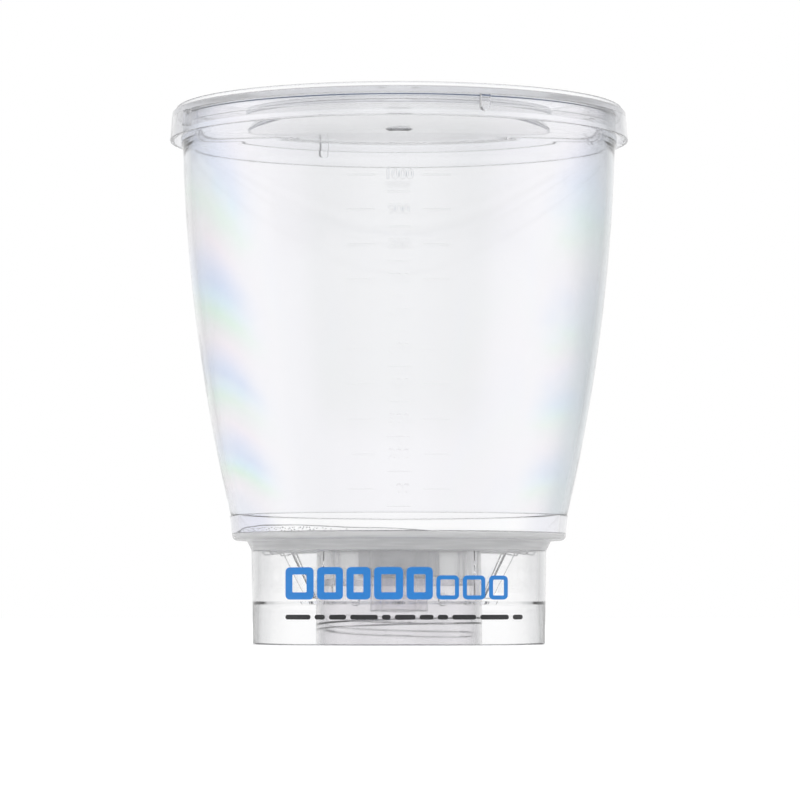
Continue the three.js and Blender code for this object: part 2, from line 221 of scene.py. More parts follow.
def filleted(corners, steps=6):
    """[r, z, fillet] corners as (r, z) points, with each fillet worked out as an arc."""
    points = []
    for i, corner in enumerate(corners):
        at = Vector(corner[:2])
        fillet = corner[2] if len(corner) > 2 else 0
        if not fillet:
            points.append(at)
            continue
        back = (Vector(corners[i - 1][:2]) - at).normalized()
        on = (Vector(corners[(i + 1) % len(corners)][:2]) - at).normalized()
        half = math.acos(max(-1.0, min(1.0, back.dot(on)))) / 2
        start = at + back * fillet / math.tan(half)
        end = at + on * fillet / math.tan(half)
        centre = at + (back + on).normalized() * fillet / math.sin(half)
        a0 = math.atan2(start.y - centre.y, start.x - centre.x)
        turn = math.atan2(end.y - centre.y, end.x - centre.x) - a0
        turn -= round(turn / (2 * math.pi)) * 2 * math.pi
        for k in range(steps + 1):
            a = a0 + turn * k / steps
            points.append(centre + fillet * Vector((math.cos(a), math.sin(a))))
    return points


def linked(name, data):
    """A new object for a mesh, curve, lamp or camera, in the scene."""
    obj = bpy.data.objects.new(name, data)
    bpy.context.scene.collection.objects.link(obj)
    return obj


def mesh_object(name, vertices, faces):
    mesh = bpy.data.meshes.new(name)
    mesh.from_pydata([Vector(v) * MM for v in vertices], [], faces)
    mesh.validate()
    return linked(name, mesh)


def evaluated_mesh(obj):
    """The object's mesh with its modifiers or its curve worked out."""
    bpy.context.view_layer.update()
    return bpy.data.meshes.new_from_object(obj.evaluated_get(bpy.context.evaluated_depsgraph_get()))


def on_circle(r, angle, z):
    return (r * math.cos(angle), r * math.sin(angle), z)


def turned(name, outline, segments=SEGMENTS):
    """A closed solid turned about +Z from (r, z) points: a ring, or from the axis back to it."""
    points = [Vector(p) for p in outline]
    ring = points[0].x > ON_AXIS
    area = sum(p.x * q.y - q.x * p.y for p, q in zip(points, points[1:] + points[:1]))
    if area < 0:
        points.reverse()
    vertices, rows = [], []
    for p in points:
        if p.x < ON_AXIS:
            rows.append([len(vertices)] * segments)
            vertices.append((0.0, 0.0, p.y))
            continue
        rows.append(range(len(vertices), len(vertices) + segments))
        vertices += [on_circle(p.x, 2 * math.pi * j / segments, p.y) for j in range(segments)]
    pairs = list(zip(rows, rows[1:]))
    if ring:
        pairs.append((rows[-1], rows[0]))
    faces = []
    for low, high in pairs:
        for j in range(segments):
            k = (j + 1) % segments
            face = [low[j], low[k], high[k], high[j]]
            face = [v for n, v in enumerate(face) if v not in face[:n]]
            if len(face) > 2:
                faces.append(face)
    return mesh_object(name, vertices, faces)


def swept(name, rings, closed=False):
    """A solid through equal rings of points, capped at both ends or closed on itself."""
    n = len(rings[0])
    vertices = [point for ring in rings for point in ring]
    starts = [n * i for i in range(len(rings))]
    pairs = list(zip(starts, starts[1:]))
    faces = []
    if closed:
        pairs.append((starts[-1], 0))
    else:
        faces = [list(range(n)), [starts[-1] + j for j in reversed(range(n))]]
    for low, high in pairs:
        for j in range(n):
            k = (j + 1) % n
            faces.append([low + j, high + j, high + k, low + k])
    return facing_out(mesh_object(name, vertices, faces))


def on_port(obj):
    """Lays a solid turned about +Z along the vacuum port, its heights running out along +Y."""
    obj.data.transform(
        Matrix.Translation((0, 0, PORT_HEIGHT * MM)) @ Matrix.Rotation(-math.pi / 2, 4, "X")
    )
    return obj


def facing_out(obj, merge=0.0, edge=0.0):
    """Merges close points, rounds every edge by edge, and turns the faces outwards."""
    tidy = bmesh.new()
    tidy.from_mesh(obj.data)
    if merge:
        bmesh.ops.remove_doubles(tidy, verts=tidy.verts, dist=merge * MM)
    if edge:
        bmesh.ops.bevel(tidy, geom=tidy.edges[:], offset=edge * MM, segments=3, profile=0.5, affect="EDGES")
    bmesh.ops.recalc_face_normals(tidy, faces=tidy.faces)
    tidy.to_mesh(obj.data)
    tidy.free()
    return obj


def web(name, section, thickness, azimuth, edge=0.0):
    """An upright web drawn in radius and height, centred on an azimuth in degrees from +X."""
    half = thickness / 2
    n = len(section)
    vertices = [(r, side * half, z) for side in (-1, 1) for r, z in section]
    faces = [list(range(n)), [n + n - 1 - i for i in range(n)]]
    faces += [[i, i + n, (i + 1) % n + n, (i + 1) % n] for i in range(n)]
    obj = facing_out(mesh_object(name, vertices, faces), edge=edge)
    obj.data.transform(Matrix.Rotation(math.radians(azimuth), 4, "Z"))
    return obj


def boolean(obj, others, operation):
    """obj with the others added or cut away. The others are used up."""
    for other in others:
        modifier = obj.modifiers.new("op", "BOOLEAN")
        modifier.solver = "MANIFOLD"
        modifier.operation = operation
        modifier.object = other
    made = evaluated_mesh(obj)
    obj.modifiers.clear()
    obj.data = made
    for other in others:
        bpy.data.objects.remove(other)


def dressed(obj, body, material, slot, *nodes):
    """Material and body, and the solids that the piece stands for. slot is not used."""
    obj.data.materials.clear()
    obj.data.materials.append(material)
    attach(obj, body)
    if nodes:
        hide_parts(*nodes)


def finished(obj, body, material, slot, *nodes):
    """A dressed piece with smooth shading, its hard edges kept and its flat faces flat."""
    obj.data.polygons.foreach_set("use_smooth", [True] * len(obj.data.polygons))
    obj.data.set_sharp_from_angle(angle=SHARP_ANGLE)
    modifier = obj.modifiers.new("flat_faces", "WEIGHTED_NORMAL")
    modifier.keep_sharp = True
    mesh = evaluated_mesh(obj)
    obj.modifiers.clear()
    obj.data = mesh
    dressed(obj, body, material, slot, *nodes)


# ---------------------------------------------------------------- node helpers


class Graph:
    """Short forms for building a node tree."""

    def __init__(self, tree):
        self.tree = tree
        tree.nodes.clear()

    def node(self, kind, out=0, **values):
        made = self.tree.nodes.new(kind)
        for key, value in values.items():
            self.put(made.inputs[key.replace("_", " ")], value)
        return made if out is None else made.outputs[out]

    def put(self, socket, value):
        if isinstance(value, bpy.types.NodeSocket):
            self.tree.links.new(value, socket)
        else:
            socket.default_value = value

    def math(self, operation, a, b=0.0):
        made = self.tree.nodes.new("ShaderNodeMath")
        made.operation = operation
        for socket, value in zip(made.inputs, (a, b)):
            self.put(socket, value)
        return made.outputs[0]

    def add(self, a, b):
        return self.math("ADD", a, b)

    def less(self, a, b):
        return self.math("SUBTRACT", a, b)

    def times(self, first, *others):
        for other in others:
            first = self.math("MULTIPLY", first, other)
        return first

    def span(self, value, low, high, to_low=0.0, to_high=1.0):
        """Eases from to_low to to_high while a value goes from low to high."""
        made = self.tree.nodes.new("ShaderNodeMapRange")
        made.interpolation_type = "SMOOTHSTEP"
        for socket, v in zip(made.inputs, (value, low, high, to_low, to_high)):
            self.put(socket, v)
        return made.outputs[0]

    def noise(self, place, scale, detail, **values):
        return self.node("ShaderNodeTexNoise", Vector=place, Scale=scale, Detail=detail, **values)

    def object_place(self):
        return self.node("ShaderNodeTexCoord", out=3)

    def split(self, place):
        return self.node("ShaderNodeSeparateXYZ", out=None, Vector=place).outputs

    def mix(self, share, a, b):
        made = self.tree.nodes.new("ShaderNodeMix")
        made.data_type = "RGBA"
        self.put(made.inputs[0], share)
        self.put(made.inputs[6], a)
        self.put(made.inputs[7], b)
        return made.outputs[2]

    def blend(self, share, a, b):
        made = self.tree.nodes.new("ShaderNodeMixShader")
        self.put(made.inputs[0], share)
        self.put(made.inputs[1], a)
        self.put(made.inputs[2], b)
        return made.outputs[0]


def new_material(name):
    material = bpy.data.materials.new(name)
    material.use_nodes = True
    return material, Graph(material.node_tree)


# ---------------------------------------------------------------- materials

STYRENE_IOR = 1.59
STYRENE_ABSORB = (0.55, 0.57, 0.62)
LID_ABSORB = (0.30, 0.38, 0.66)
RUBBER_IOR = 1.41
NEAR_CLEAR = (0.998, 0.998, 1.0, 1)
LID_NEAR_CLEAR = (0.993, 0.994, 0.998, 1)
LILAC = (0.972, 0.970, 0.984, 1)
CUP_LILAC = (0.90, 0.905, 0.965, 1)
FRONT_GREY = (0.945, 0.948, 0.956, 1)
# painted shade down the left and right sides of the base's skirt
SKIRT_SIDE_SHADE = (0.86, 0.865, 0.875, 1)
# painted shade down the left and right sides of the lid's skirt
LID_SKIRT_SIDE_SHADE = (0.90, 0.905, 0.925, 1)
# painted shade for the funnel's right edge
SIDE_SHADE = (0.72, 0.77, 0.80, 1)
# painted shade line along the front half of the funnel rim's top
RIM_NAVY_SHADE_LINE = (0.006, 0.02, 0.075, 1)
STRESS_COLOURS = (  # place in one cycle of the bands, colour
    (0.0, (0.83, 0.89, 1.0)), (0.16, (0.85, 0.95, 1.0)), (0.3, (0.87, 0.98, 0.91)),
    (0.46, (0.95, 0.96, 0.955)), (0.6, (0.99, 0.955, 0.985)), (0.74, (0.94, 0.935, 1.0)),
    (0.88, (0.87, 0.905, 1.0)), (1.0, (0.83, 0.89, 1.0)),
)
STRESS_TOP = 145.2  # the bands are counted down from here
STRESS_RATE = 20.8  # down to a depth d in metres there are STRESS_RATE * d + STRESS_GROWTH * d^2 bands
STRESS_GROWTH = 150.0


def plan_radius(g, x, y):
    return g.math("SQRT", g.add(g.times(x, x), g.times(y, y)))


def below(g, value, limit, edge):
    """1 up to a limit in millimetres, running out to 0 over an edge width above it."""
    return g.span(value, limit * MM, (limit + edge) * MM, 1, 0)


def above(g, value, limit, edge):
    """1 from a limit in millimetres, running out to 0 over an edge width below it."""
    return g.span(value, (limit - edge) * MM, limit * MM)


def within(g, value, low, high, edge):
    """1 from low to high in millimetres, running out to 0 over an edge width at each end."""
    return g.times(above(g, value, low, edge), below(g, value, high, edge))


def base_frost_and_shade(g, x, y, z):
    """Moulded-in frost and haze of the base, with its greys painted shade under the plate and membrane, as
    (share, added roughness, colour, haze).
    """
    r = plan_radius(g, x, y)
    place = g.node("ShaderNodeCombineXYZ", X=x, Y=y, Z=g.times(z, 16.0))
    streaks = g.span(g.noise(place, 70.0, 2.0), 0.35, 0.65, 0.84, 1.0)
    plate = g.times(within(g, z, CEILING - 0.6, SEAL_LAND - 0.4, 0.4), streaks)
    chamber = within(g, z, SEAT_HEIGHT - 0.1, CEILING - 0.2, 0.4)
    chamber = g.times(chamber, below(g, r, CHAMBER_RADIUS + 0.3, 0.4))
    bay = g.times(chamber, above(g, r, SPOUT_RADIUS + 0.6, 0.4))
    neck = g.times(below(g, z, SEAT_HEIGHT - 0.3, 0.4), below(g, r, NECK_RADIUS + 0.3, 0.4))
    # the colours are painted shade: grey in the plate, darker in the chamber, darkest in the bay round the
    # spout, and grey down the neck
    return [
        (plate, 0.22, (0.925, 0.925, 0.93, 1), 0.5),
        (chamber, 0.10, (0.88, 0.88, 0.885, 1), 0.15),
        (bay, 0.0, (0.78, 0.78, 0.785, 1), 0.03),
        (neck, 0.03, (0.895, 0.885, 0.90, 1), 0.0),
    ]


def base_tint(g, x, y, z):
    """Almost colourless, with painted shade down the skirt at each side, and lilac at each side of the cup.
    """
    r = plan_radius(g, x, y)
    side = g.math("ABSOLUTE", g.math("DIVIDE", x, r))
    # painted shade: the skirt is greyed towards its left and right edges
    skirt = g.times(below(g, z, 30.0, 1.0), above(g, r, 41.0, 1.0), g.span(side, 0.90, 0.985))
    cup = g.times(above(g, z, 33.0, 1.0), g.span(side, 0.72, 0.86), g.span(x, -0.01, 0.01, 1.0, 0.45))
    return g.mix(skirt, g.mix(cup, NEAR_CLEAR, CUP_LILAC), SKIRT_SIDE_SHADE)


def lid_frost_and_shade(g, x, y, z):
    """Fine texture under the lid's pad, haze at the plate's edge and on the pad's wall, and a painted shade
    line at the pad's corner.
    """
    r = plan_radius(g, x, y)
    pad = g.times(below(g, z, LID_PAD_UNDER, 0.2), below(g, r, LID_PAD_RADIUS - 0.3, 0.2))
    edge = within(g, z, LID_CHANNEL_ROOF - 0.1, LID_SHOULDER, 0.05)
    edge = g.times(edge, above(g, r, LID_PLUG_RADIUS + 0.5, 0.2))
    wall = within(g, z, LID_PAD_UNDER + 0.45, LID_CHANNEL_ROOF - 0.1, 0.05)
    wall = g.times(wall, within(g, r, LID_PAD_RADIUS - 0.1, LID_PAD_RADIUS + 0.3, 0.1))
    # painted shade: a dark grey line round the pad's corner
    corner = within(g, z, LID_PAD_UNDER - 0.2, LID_PAD_UNDER + 0.4, 0.05)
    corner = g.times(corner, within(g, r, LID_PAD_RADIUS - 0.6, LID_PAD_RADIUS + 0.2, 0.1))
    return [
        (pad, 0.09, (0.955, 0.955, 0.96, 1), 0.0),
        (edge, 0.05, (0.92, 0.92, 0.93, 1), 0.34),
        (wall, 0.05, (0.97, 0.97, 0.975, 1), 0.5),
        (corner, 0.05, (0.62, 0.62, 0.64, 1), 0.35),
    ]


def lid_tint(g, x, y, z):
    """Almost colourless, with painted shade down the skirt at each side."""
    r = plan_radius(g, x, y)
    side = g.math("ABSOLUTE", g.math("DIVIDE", x, r))
    # painted shade: the lid's skirt is greyed towards its left and right edges
    skirt = g.times(g.span(side, 0.85, 0.97), above(g, r, 66.0, 0.5))
    return g.mix(skirt, LID_NEAR_CLEAR, LID_SKIRT_SIDE_SHADE)


def stress_bands(g, side, z, place):
    """Cycle of pastel colours down the wall, closer together lower down and tilted at the left side."""
    drop = g.less(STRESS_TOP * MM, z)
    phase = g.times(drop, g.add(g.times(drop, STRESS_GROWTH), STRESS_RATE))
    phase = g.add(phase, g.span(side, -0.95, -0.72, -0.16, -0.47))
    phase = g.add(phase, g.times(g.noise(place, 1.7, 1.5), 0.42))
    ramp = g.node("ShaderNodeValToRGB", out=None)
    stops = ramp.color_ramp.elements
    while len(stops) < len(STRESS_COLOURS):
        stops.new(0.5)
    for stop, (at, colour) in zip(stops, STRESS_COLOURS):
        stop.position = at
        stop.color = (*colour, 1)
    g.put(ramp.inputs[0], g.math("FRACT", phase))
    return ramp.outputs[0]


def stress_tint_and_shade(g, x, y, z):
    """Stress colours at each side of the funnel, a grey front, painted shade down the right edge and a
    painted dark navy line along the front of the rim's top.
    """
    r = plan_radius(g, x, y)
    side = g.math("DIVIDE", x, r)
    aside = g.math("ABSOLUTE", side)
    place = g.node("ShaderNodeCombineXYZ", X=g.times(side, 1.6), Y=g.times(z, 22.0), Z=0.3)
    patches = g.span(g.noise(place, 3.1, 1.0), 0.35, 0.6, 0.35, 1.0)
    amount = g.times(g.span(aside, 0.66, 0.9), patches, g.span(side, -0.5, 0.5, 1.0, 0.7))
    grey = g.times(g.span(aside, 0.36, 0.52, 1, 0), within(g, z, 75.0, 148.0, 20.0))
    front = g.mix(grey, LILAC, FRONT_GREY)
    pastel = g.mix(amount, front, stress_bands(g, side, z, place))
    # painted shade: the right edge is greyed, more strongly lower down
    shade = g.times(g.span(side, 0.84, 0.99), g.span(z, 0.07, 0.13, 0.95, 0.65))
    # painted shade: a dark navy line on the front half of the rim's top, standing in for its dark edge
    rim = g.times(above(g, z, RIM_TOP - 0.37, 0.08), above(g, r, RIM_RADIUS - 0.65, 0.2))
    rim = g.times(rim, g.span(y, -0.01, 0.01, 1, 0))
    return g.mix(rim, g.mix(shade, pastel, SIDE_SHADE), RIM_NAVY_SHADE_LINE)


def no_textures(g, x, y, z):
    return []


def clear_styrene(name, absorb, density, tint, frost_and_shade=no_textures):
    """Clear moulded plastic. tint gives its surface colour, with painted shade in places; the patches give
    frost and haze, and painted shade in their colours.
    """
    material, g = new_material(name)
    place = g.object_place()
    x, y, z = g.split(place)
    waves = g.noise(place, 38.0, 2.0, Roughness=0.5)
    bump = g.node("ShaderNodeBump", Strength=0.06, Distance=0.0006, Height=waves)
    roughness = g.span(g.noise(place, 900.0, 3.0), 0.35, 0.75, 0.012, 0.05)
    colour = tint(g, x, y, z)
    clarity = 1.0
    for share, frost, shade, haze in frost_and_shade(g, x, y, z):
        roughness = g.add(roughness, g.times(share, frost))
        # the patch colours hold painted shade
        colour = g.mix(share, colour, shade)
        clarity = g.less(clarity, g.times(share, haze))
    shader = g.node(
        "ShaderNodeBsdfPrincipled",
        Base_Color=colour, Roughness=roughness, IOR=STYRENE_IOR, Transmission_Weight=clarity, Normal=bump,
    )
    volume = g.node("ShaderNodeVolumeAbsorption", Color=(*absorb, 1), Density=density)
    g.node("ShaderNodeOutputMaterial", out=None, Surface=shader, Volume=volume)
    return material


def translucent(name, light, dark, ior):
    """A soft see-through elastomer with a satin skin."""
    material, g = new_material(name)
    grain = g.noise(g.object_place(), 700.0, 3.0)
    colour = g.mix(g.span(grain, 0.3, 0.7), (*dark, 1), (*light, 1))
    rough = g.span(grain, 0.3, 0.7, 0.16, 0.26)
    shader = g.node(
        "ShaderNodeBsdfPrincipled", Base_Color=colour, Roughness=rough, IOR=ior, Transmission_Weight=1.0,
    )
    g.node("ShaderNodeOutputMaterial", out=None, Surface=shader)
    return material


def plain(name, light, dark, scale, roughness, bump, distance=0.0002):
    """A matt surface: two close colours over a noise, with a fine bump."""
    material, g = new_material(name)
    grain = g.noise(g.object_place(), scale, 4.0)
    colour = g.mix(g.span(grain, 0.3, 0.7), (*dark, 1), (*light, 1))
    normal = g.node("ShaderNodeBump", Strength=bump, Distance=distance, Height=grain)
    rough = g.span(grain, 0.3, 0.7, roughness - 0.06, roughness + 0.06)
    shader = g.node("ShaderNodeBsdfPrincipled", Base_Color=colour, Roughness=rough, Normal=normal)
    g.node("ShaderNodeOutputMaterial", out=None, Surface=shader)
    return material


BASE_CLEAR = clear_styrene("base_clear", STYRENE_ABSORB, 4.0, base_tint, base_frost_and_shade)
FUNNEL_CLEAR = clear_styrene("funnel_clear", STYRENE_ABSORB, 9.0, stress_tint_and_shade)
LID_CLEAR = clear_styrene("lid_clear", LID_ABSORB, 2.0, lid_tint, lid_frost_and_shade)
MEMBRANE_WHITE = plain("membrane_film", (0.94, 0.94, 0.93), (0.91, 0.91, 0.9), 1500, 0.85, 0.2)
GASKET = translucent("gasket_elastomer", (0.9, 0.9, 0.92), (0.84, 0.84, 0.87), RUBBER_IOR)
PRINT_BLUE = plain("print_blue", (0.012, 0.21, 0.62), (0.010, 0.19, 0.57), 900, 0.4, 0.05, 0.00002)
PRINT_BLACK = plain("print_black", (0.02, 0.02, 0.022), (0.012, 0.012, 0.014), 900, 0.4, 0.05, 0.00002)
FIBRE = plain("fibre", (0.93, 0.93, 0.9), (0.82, 0.82, 0.8), 2500, 0.95, 0.6)

# ---------------------------------------------------------------- funnel


def funnel_radius(z):
    u = FUNNEL_DATUM - z
    return FUNNEL_RADIUS - FUNNEL_TAPER * u - FUNNEL_BOW * u * u


def cup_inner_radius(z):
    slope = (CUP_TOP_RADIUS - CUP_FOOT_RADIUS) / (CUP_TOP - CUP_FLOOR)
    return CUP_TOP_RADIUS - CUP_WALL - slope * (CUP_TOP - z)


def taper(low, high, inset):
    heights = [low + (high - low) * i / FUNNEL_STEPS for i in range(FUNNEL_STEPS + 1)]
    return [(funnel_radius(z) - inset, z) for z in heights]


def mark_proud(z):
    """How far a mark stands proud: crisp at the top of the scale, worn away at its foot."""
    foot, span = MARK_SHARPENS
    return MARK_PROUD * (MARK_FAINTEST + (1 - MARK_FAINTEST) * max(0.0, (z - foot) / span) ** 0.7)


def wall_point(x, z, stand):
    """A point on the funnel's front wall from its place across and its height, standing proud by stand."""
    return on_circle(funnel_radius(z) + stand, x / funnel_radius(z) - math.pi / 2, z)


def raised(curve):
    """The closed mesh of a flat filled curve of outlines or text, as an object."""
    flat = linked(curve.name, curve)
    mesh = evaluated_mesh(flat)
    bpy.data.objects.remove(flat)
    return facing_out(linked(curve.name, mesh), merge=0.001)


def numeral(text, z):
    """A raised plain number on the funnel's front wall, centred on height z."""
    curve = bpy.data.curves.new("numeral", "FONT")
    curve.body = text
    curve.size = NUMERAL_SIZE * MM
    curve.align_x, curve.align_y = "CENTER", "CENTER"
    curve.extrude = NUMERAL_DEPTH * MM
    curve.bevel_depth = MARK_FLANK * MM
    curve.bevel_resolution = 0
    curve.resolution_u = 3
    obj = raised(curve)
    for v in obj.data.vertices:
        x, up, out = v.co / MM
        flank = max(0.0, out - NUMERAL_DEPTH) / MARK_FLANK
        stand = -OVERLAP if out < 0 else mark_proud(z) * flank
        v.co = Vector(wall_point(x, z + up, stand)) * MM
    return obj


def tick(x0, x1, z):
    """A raised line with sloping flanks on the funnel's front wall."""
    proud = mark_proud(z)
    section = (
        (-MARK_HALF_WIDTH, 0.0), (-MARK_FLAT, proud), (MARK_FLAT, proud), (MARK_HALF_WIDTH, 0.0),
        (MARK_HALF_WIDTH, -OVERLAP), (-MARK_HALF_WIDTH, -OVERLAP),
    )
    places = [x0 + (x1 - x0) * i / MARK_STEPS for i in range(MARK_STEPS + 1)]
    return swept("tick", [[wall_point(x, z + dz, stand) for dz, stand in section] for x in places])


def graduations():
    """Raised scale on the funnel's front: a line each side of each number, a short line between."""
    near, far = LONG_MARK
    marks = []
    for k in range(MARKS):
        z = MARK_TOP - MARK_PITCH * k
        marks += [tick(-far, -near, z), tick(near, far, z)]
        marks.append(tick(-SHORT_MARK, SHORT_MARK, z - MARK_PITCH / 2))
        marks.append(numeral(str(100 * (MARKS - k)), z))
    return marks


def make_funnel():
    seam = CUP_TOP + SEAT_GAP
    wall_foot = CUP_TOP + 1
    funnel = turned("funnel_shell", filleted([
        (cup_inner_radius(CUP_TOP) - TONGUE_WALL, seam),
        (funnel_radius(seam) - 0.1, seam, 0.15),
        *taper(wall_foot, TAPER_TOP_OUTSIDE, 0),
        (RIM_RADIUS, RIM_BEAD_HEIGHT - RIM_BEAD_REACH, 1.5),
        (RIM_RADIUS + 0.3, RIM_BEAD_HEIGHT, 2.0),
        (RIM_RADIUS, RIM_BEAD_HEIGHT + RIM_BEAD_REACH, 1.5),
        (RIM_RADIUS - 0.1, RIM_TOP, 0.25),
        (LID_PLUG_RADIUS + 0.4, RIM_TOP, 0.4),
        (LID_PLUG_RADIUS + 0.35, RIM_BORE_FOOT),
        *taper(TAPER_TOP_INSIDE, wall_foot, FUNNEL_WALL),
    ]), WIDE_SEGMENTS)
    boolean(funnel, graduations(), "UNION")
    finished(funnel, "unit", FUNNEL_CLEAR, "clear_styrene", "funnel")


# ---------------------------------------------------------------- filter base


def drain_floor(r):
    share = (r - OUTLET_RADIUS) / (MEMBRANE_RADIUS - OUTLET_RADIUS)
    return DRAIN_CENTRE + (DRAIN_EDGE - DRAIN_CENTRE) * share


def base_outline():
    land = MEMBRANE_RADIUS - LAND_WIDTH
    rings = []
    for r in DRAIN_RINGS:
        outer, inner = r + DRAIN_RING_WIDTH / 2, r - DRAIN_RING_WIDTH / 2
        rings += [(outer, drain_floor(outer)), (outer, SEAL_LAND, 0.2)]
        rings += [(inner, SEAL_LAND, 0.2), (inner, drain_floor(inner))]
    return filleted([
        (OUTLET_RADIUS, NOZZLE_TIP),
        (NOZZLE_RADIUS, NOZZLE_TIP, 0.4),
        (NOZZLE_RADIUS, SPOUT_STEP),
        (SPOUT_RADIUS, SPOUT_STEP, 0.5),
        (SPOUT_RADIUS, CEILING),
        (CHAMBER_RADIUS, CEILING),
        (CHAMBER_RADIUS, SEAT_HEIGHT),
        (THREAD_ROOT_RADIUS, SEAT_HEIGHT),
        (THREAD_ROOT_RADIUS, MOUTH_CHAMFER[1]),
        (THREAD_ROOT_RADIUS + MOUTH_CHAMFER[0], 0),
        (NECK_RADIUS, 0, 0.3),
        (NECK_RADIUS, CEILING),
        (SKIRT_INNER_RADIUS + 0.3, CEILING, 1.0),
        (SKIRT_INNER_RADIUS, SKIRT_LIP_HEIGHT + 0.5, 0.6),
        (SKIRT_INNER_RADIUS + SKIRT_LIP_STEP, SKIRT_LIP_HEIGHT - 0.4, 0.6),
        (SKIRT_FOOT_RADIUS - SKIRT_LIP_WALL, 0),
        (SKIRT_FOOT_RADIUS, 0, 0.4),
        (SKIRT_TOP_RADIUS, CEILING - 0.6, 1.0),
        (SKIRT_TOP_RADIUS + 1.4, CUP_FLOOR, 0.8),
        (CUP_FOOT_RADIUS, CUP_FLOOR, 1.5),
        (CUP_TOP_RADIUS, CUP_TOP, 0.15),
        (cup_inner_radius(CUP_TOP) - TONGUE_WALL, CUP_TOP),
        (cup_inner_radius(SEAL_LAND) - TONGUE_WALL, SEAL_LAND, 0.3),
        (land, SEAL_LAND),
        (land - 0.2, drain_floor(land - 0.2)),
        *rings,
        (OUTLET_RADIUS + 0.8, DRAIN_CENTRE, 0.4),
        (OUTLET_RADIUS, DRAIN_CENTRE - 0.8),
    ])


def gussets():
    inner, outer = NECK_RADIUS - 0.9, SKIRT_INNER_RADIUS + OVERLAP
    section = [
        (inner, CEILING + OVERLAP),
        (inner, GUSSET_FOOT[1]),
        (NECK_RADIUS + GUSSET_FOOT[0], GUSSET_FOOT[1]),
        (NECK_RADIUS + GUSSET_SHELF[0], GUSSET_SHELF[1]),
        (SKIRT_INNER_RADIUS + GUSSET_TIP[0], GUSSET_TIP[1]),
        (outer, CEILING - 0.4),
        (outer, CEILING + OVERLAP),
    ]
    return [web("gusset", section, GUSSET_WIDTH, a, edge=GUSSET_EDGE) for a in GUSSET_AZIMUTHS]


def drain_channels():
    start, edge = DRAIN_RINGS[-1] - 2, MEMBRANE_RADIUS - LAND_WIDTH - 0.3
    section = [
        (start, drain_floor(start) - 0.1), (edge, drain_floor(edge) - 0.1),
        (edge, SEAL_LAND + 1), (start, SEAL_LAND + 1),
    ]
    return [web("channel", section, DRAIN_CHANNEL_WIDTH, a) for a in DRAIN_CHANNEL_AZIMUTHS]


def thread():
    """Right-handed ridge inside the neck, its height running out to nothing at both ends."""
    steps = int(THREAD_TURNS * THREAD_STEPS)
    root = THREAD_ROOT_RADIUS + 0.5
    wide, mid, narrow = THREAD_HALF_WIDTHS
    rings = []
    for i in range(steps + 1):
        back = i / THREAD_STEPS
        angle = math.radians(THREAD_TOP_AZIMUTH) - back * 2 * math.pi
        z = THREAD_TOP - back * THREAD_PITCH
        ease = min(1.0, 0.04 + min(i, steps - i) / (THREAD_STEPS * THREAD_RUN_OUT))
        crest = THREAD_ROOT_RADIUS - (THREAD_ROOT_RADIUS - THREAD_CREST_RADIUS) * ease
        half = ((root, wide), (crest + 0.2, mid), (crest, narrow))
        section = [(r, -dz) for r, dz in half] + [(r, dz) for r, dz in reversed(half)]
        rings.append([on_circle(r, angle, z + dz) for r, dz in section])
    return swept("thread", rings)


def neck_pads():
    """Two small round pads on the neck's front."""
    section = [(0, -0.9), (PAD_RADIUS, -0.9), (PAD_RADIUS, 0.35), (PAD_RADIUS - 0.25, 0.6), (0, 0.6)]
    up = Matrix.Translation((0, 0, PAD_HEIGHT * MM))
    out = Matrix.Translation((0, -NECK_RADIUS * MM, 0)) @ Matrix.Rotation(math.pi / 2, 4, "X")
    pads = []
    for offset in (-PAD_OFFSET, PAD_OFFSET):
        pad = turned("pad", section, PAD_SEGMENTS)
        turn = Matrix.Rotation(math.asin(offset / NECK_RADIUS), 4, "Z")
        pad.data.transform(up @ turn @ out)
        pads.append(pad)
    return pads


def weld_height(azimuth):
    """Height of the weld's edge at an azimuth in degrees, eased between the listed places."""
    points = sorted((a % 360, z) for a, z in WELD_LINE)
    points = [(points[-1][0] - 360, points[-1][1]), *points, (points[0][0] + 360, points[0][1])]
    (a0, z0), (a1, z1) = next(pair for pair in zip(points, points[1:]) if azimuth <= pair[1][0])
    t = (azimuth - a0) / (a1 - a0)
    return z0 + (z1 - z0) * t * t * (3 - 2 * t)


def weld_void():
    """The thin unfused edge of the weld, a ribbon-shaped void round the cup wall."""
    rings = []
    for j in range(SEGMENTS):
        azimuth = 360 * j / SEGMENTS
        angle, z = math.radians(azimuth), weld_height(azimuth)
        rings.append([on_circle(WELD_RADIUS + dr, angle, z + dz) for dr, dz in WELD_SECTION])
    return swept("weld_void", rings, closed=True)


def weld_bubbles():
    """Small bubbles under the weld's edge on one side, in one mesh, none touching another."""
    dice = random.Random(BUBBLE_SEED)
    placed = []
    spheres = bmesh.new()
    while len(placed) < BUBBLES:
        azimuth = dice.triangular(*BUBBLE_AZIMUTHS)
        z = weld_height(azimuth) - dice.uniform(*BUBBLE_DEPTHS)
        size = dice.uniform(*BUBBLE_SIZES)
        r = WELD_RADIUS + dice.uniform(-BUBBLE_SPREAD, BUBBLE_SPREAD)
        at = Vector(on_circle(r, math.radians(azimuth), z))
        crowded = any((at - other).length < size + reach + BUBBLE_GAP for other, reach in placed)
        if z < BUBBLE_FLOOR or crowded:
            continue
        placed.append((at, size))
        place = Matrix.Translation(at * MM) @ Matrix.Diagonal((1, 1, dice.uniform(0.5, 1), 1))
        bmesh.ops.create_icosphere(spheres, subdivisions=1, radius=size * MM, matrix=place)
    mesh = bpy.data.meshes.new("bubbles")
    spheres.to_mesh(mesh)
    spheres.free()
    return linked("bubbles", mesh)


def port_socket():
    start = NECK_RADIUS - 1.2
    outline = filleted([(0, start), (PORT_RADIUS, start), (PORT_RADIUS, PORT_END, 0.4), (0, PORT_END)])
    return on_port(turned("socket", outline, FINE_SEGMENTS))


